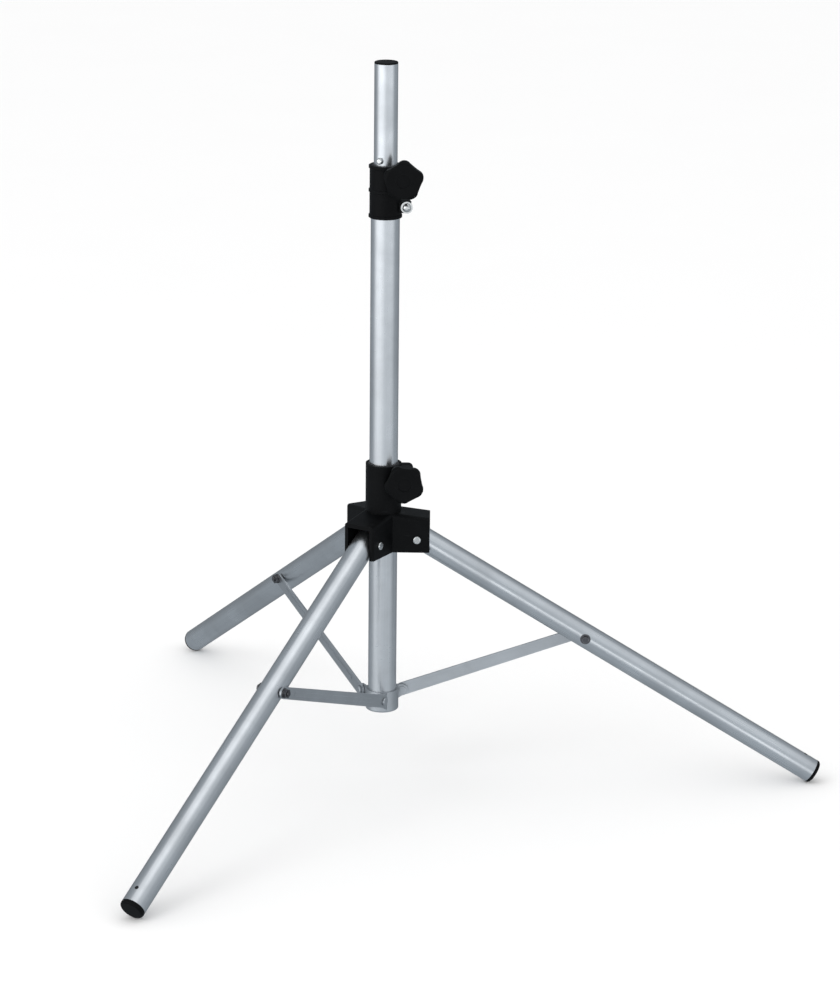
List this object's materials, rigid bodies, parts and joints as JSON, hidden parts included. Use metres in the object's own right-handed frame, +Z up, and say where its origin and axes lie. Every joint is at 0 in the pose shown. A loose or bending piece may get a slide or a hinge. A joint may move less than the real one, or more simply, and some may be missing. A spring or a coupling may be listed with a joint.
{
  "type": "telescopic lighting stand",
  "caption": "Folding tripod stand with a sliding hub, braced tube legs and a telescopic mast that a pinch clamp locks, for carrying a stage light.",
  "frame": {"origin": "on the mast's axis at floor level, with the stand open on its feet", "axes": "+Z up along the mast; +X towards leg 1; legs 2 and 3 at 120 and 240 degrees about +Z; locking knobs face -Y"},
  "size_m": [0.8341, 0.9586, 0.9045],
  "materials": {
    "anodised_tube": "satin anodised",
    "silver_steel": "satin silver paint",
    "black_plastic": "moulded black nylon",
    "nylon": "plain moulded",
    "bright_steel": "zinc plated",
    "dark_steel": "blackened",
    "black_rivet": "black"
  },
  "bodies": {
    "mast": {"main_tube": "anodised_tube", "tube_bottom_plug": "nylon", "base_collar": "silver_steel", "collar_rivets": "bright_steel", "strut_base_rivets": "bright_steel", "clamp_body": "black_plastic", "clamp_liner": "nylon", "clamp_bolt": "bright_steel", "clamp_nuts": "bright_steel", "clamp_washer": "bright_steel"},
    "clamp_knob": {"clamp_knob": "black_plastic", "clamp_knob_screw": "bright_steel"},
    "riser_guide": {"riser_guide": "nylon"},
    "riser": {"riser_tube": "anodised_tube", "riser_cap": "black_plastic"},
    "stop_pin": {"stop_pin": "bright_steel"},
    "hub": {"hub": "black_plastic", "hub_liners": "nylon", "hub_nut": "bright_steel", "leg_pivot_bolts": "bright_steel", "leg_pivot_nuts": "bright_steel"},
    "hub_knob": {"hub_knob": "black_plastic", "hub_knob_screw": "bright_steel"},
    "leg_1": {"leg_tube_1": "anodised_tube", "leg_insert_1": "nylon", "foot_plug_1": "black_plastic", "foot_rivet_1": "black_rivet", "strut_bolt_1": "dark_steel"},
    "strut_1": {"strut_1": "silver_steel", "strut_nut_1": "dark_steel"},
    "leg_2": {"leg_tube_2": "anodised_tube", "leg_insert_2": "nylon", "foot_plug_2": "black_plastic", "foot_rivet_2": "black_rivet", "strut_bolt_2": "dark_steel"},
    "strut_2": {"strut_2": "silver_steel", "strut_nut_2": "dark_steel"},
    "leg_3": {"leg_tube_3": "anodised_tube", "leg_insert_3": "nylon", "foot_plug_3": "black_plastic", "foot_rivet_3": "black_rivet", "strut_bolt_3": "dark_steel"},
    "strut_3": {"strut_3": "silver_steel", "strut_nut_3": "dark_steel"}
  },
  "joints": [
    {"name": "riser_lift", "type": "slide", "parent": "mast", "child": "riser_guide", "axis": [0, 0, 1], "range_m": [0, 0.54]},
    {"name": "riser_turn", "type": "hinge", "parent": "riser_guide", "child": "riser", "pos_m": [0, 0, 0.11945], "axis": [0, 0, 1], "continuous": true},
    {"name": "stop_pin_pull", "type": "slide", "parent": "riser", "child": "stop_pin", "axis": [-0.4226, -0.9063, 0], "range_m": [0, 0.045]},
    {"name": "clamp_knob_turn", "type": "hinge", "parent": "mast", "child": "clamp_knob", "pos_m": [0.022, 0, 0.76645], "axis": [0, -1, 0], "range_deg": [0, 540]},
    {"name": "hub_slide", "type": "slide", "parent": "mast", "child": "hub", "axis": [0, 0, 1], "range_m": [0, 0.2777]},
    {"name": "hub_knob_turn", "type": "hinge", "parent": "hub", "child": "hub_knob", "pos_m": [0.0263, 0, 0.39039], "axis": [0, -1, 0], "range_deg": [0, 540]},
    {"name": "leg_1_fold", "type": "hinge", "parent": "hub", "child": "leg_1", "pos_m": [0.042, 0, 0.31639], "axis": [0, 1, 0], "range_deg": [0, 58.75]},
    {"name": "strut_1_fold", "type": "hinge", "parent": "mast", "child": "strut_1", "pos_m": [0.025, 0, 0.10875], "axis": [0, -1, 0], "range_deg": [0, 66.54]},
    {"name": "leg_2_fold", "type": "hinge", "parent": "hub", "child": "leg_2", "pos_m": [-0.021, 0.03637, 0.31639], "axis": [-0.866, -0.5, 0], "range_deg": [0, 58.75]},
    {"name": "strut_2_fold", "type": "hinge", "parent": "mast", "child": "strut_2", "pos_m": [-0.0125, 0.02165, 0.10875], "axis": [0.866, 0.5, 0], "range_deg": [0, 66.54]},
    {"name": "leg_3_fold", "type": "hinge", "parent": "hub", "child": "leg_3", "pos_m": [-0.021, -0.03637, 0.31639], "axis": [0.866, -0.5, 0], "range_deg": [0, 58.75]},
    {"name": "strut_3_fold", "type": "hinge", "parent": "mast", "child": "strut_3", "pos_m": [-0.0125, -0.02165, 0.10875], "axis": [-0.866, 0.5, 0], "range_deg": [0, 66.54]}
  ],
  "couplings": [
    {"joint": "leg_1_fold", "follows": "hub_slide", "rad_per_m": 3.6885},
    {"joint": "strut_1_fold", "follows": "hub_slide", "rad_per_m": 4.1781},
    {"joint": "leg_2_fold", "follows": "hub_slide", "rad_per_m": 3.6885},
    {"joint": "strut_2_fold", "follows": "hub_slide", "rad_per_m": 4.1781},
    {"joint": "leg_3_fold", "follows": "hub_slide", "rad_per_m": 3.6885},
    {"joint": "strut_3_fold", "follows": "hub_slide", "rad_per_m": 4.1781}
  ]
}
